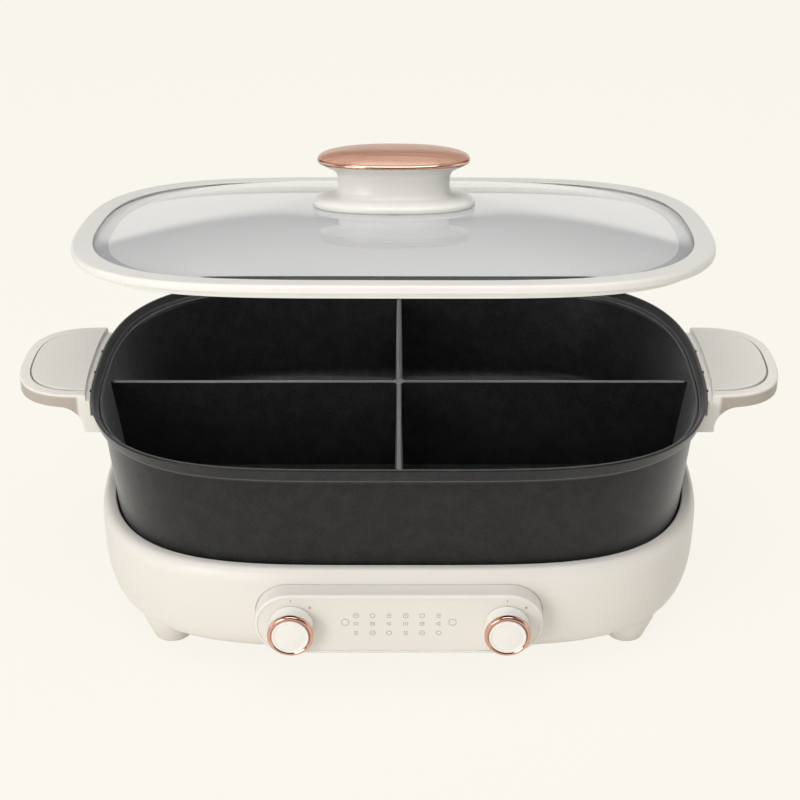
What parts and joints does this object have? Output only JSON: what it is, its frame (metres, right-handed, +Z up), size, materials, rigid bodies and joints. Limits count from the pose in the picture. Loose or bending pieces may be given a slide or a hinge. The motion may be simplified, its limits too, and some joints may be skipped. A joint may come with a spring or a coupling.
{
  "type": "electric hot pot with lid",
  "caption": "Countertop electric hot pot: a cast compartment pot with side handles lifts off a heated base with two control knobs, under a free glass lid in a cream frame.",
  "frame": {"origin": "on the table, below the middle of the whole object's bounding box as pictured, with the lid held up", "axes": "+X to the right as seen from the front, +Y to the back, +Z up; the control knobs face -Y"},
  "size_m": [0.4604, 0.2926, 0.2814],
  "materials": {
    "cream_shell": "satin warm white moulded plastic",
    "cream_handle": "satin warm white moulded plastic",
    "cream_frame": "satin warm white moulded plastic",
    "underside_plastic": "fine matt moulded plastic",
    "deck_coating": "matt black coated steel",
    "pad_rubber": "matt grey rubber",
    "screw_steel": "zinc plated steel",
    "plate_aluminium": "turned cast aluminium",
    "heater_steel": "heat tinted steel tube",
    "reflector_steel": "bright sheet steel",
    "brass_part": "dull brass",
    "fuse_sleeve": "white woven sleeve",
    "panel_plastic": "fine matt plastic with printed marks",
    "board_green": "green circuit board",
    "control_metal": "grey stamped case",
    "knob_white": "satin white plastic",
    "rose_gold": "polished rose gold plating",
    "inlet_black": "black moulded plastic",
    "pin_nickel": "nickel plated pins",
    "pot_coating": "black speckled non-stick coating on cast aluminium",
    "lid_glass": "clear tempered glass with a smoky tint",
    "walnut": "oiled reddish walnut",
    "seal_grey": "grey silicone"
  },
  "bodies": {
    "base": {"base_shell": "cream_shell", "bottom_cover": "underside_plastic", "deck_ring": "deck_coating", "front_left_foot": "cream_shell", "front_right_foot": "cream_shell", "rear_left_foot": "cream_shell", "rear_right_foot": "cream_shell", "foot_pads": "pad_rubber", "bottom_screws": "screw_steel", "heating_plate": "plate_aluminium", "heater_tube": "heater_steel", "plate_supports": "screw_steel", "heat_reflector": "reflector_steel", "thermostat": "brass_part", "thermal_fuse": "fuse_sleeve", "console_frame": "cream_shell", "control_panel": "panel_plastic", "control_board": "board_green", "left_control": "control_metal", "right_control": "control_metal", "mains_inlet": "inlet_black", "inlet_pins": "pin_nickel", "power_board": "board_green"},
    "pot": {"pot": "pot_coating", "left_handle": "cream_handle", "right_handle": "cream_handle", "left_handle_cap": "cream_handle", "right_handle_cap": "cream_handle", "handle_screws": "screw_steel"},
    "lid": {"lid_frame": "cream_frame", "lid_glass": "lid_glass", "lid_knob_base": "knob_white", "lid_knob_trim": "rose_gold", "lid_knob_top": "walnut", "lid_knob_washer": "seal_grey", "lid_knob_screw": "screw_steel"},
    "left_knob": {"left_knob": "knob_white", "left_knob_ring": "rose_gold", "left_knob_cap": "knob_white", "left_knob_shaft": "screw_steel"},
    "right_knob": {"right_knob": "knob_white", "right_knob_ring": "rose_gold", "right_knob_cap": "knob_white", "right_knob_shaft": "screw_steel"}
  },
  "joints": [
    {"name": "pot_lift", "type": "slide", "parent": "base", "child": "pot", "axis": [0, 0, 1], "range_m": [0, 0.12]},
    {"name": "lid_lift", "type": "hinge", "parent": "pot", "child": "lid", "pos_m": [0, 0.60058, 0.1443], "axis": [-0.9993, 0, -0.0366], "range_deg": [-8.1, 3]},
    {"name": "left_knob_turn", "type": "hinge", "parent": "base", "child": "left_knob", "pos_m": [-0.0613, -0.13322, 0.04815], "axis": [0, 1, 0], "range_deg": [0, 270]},
    {"name": "right_knob_turn", "type": "hinge", "parent": "base", "child": "right_knob", "pos_m": [0.0613, -0.13322, 0.04815], "axis": [0, 1, 0], "range_deg": [0, 270]}
  ]
}
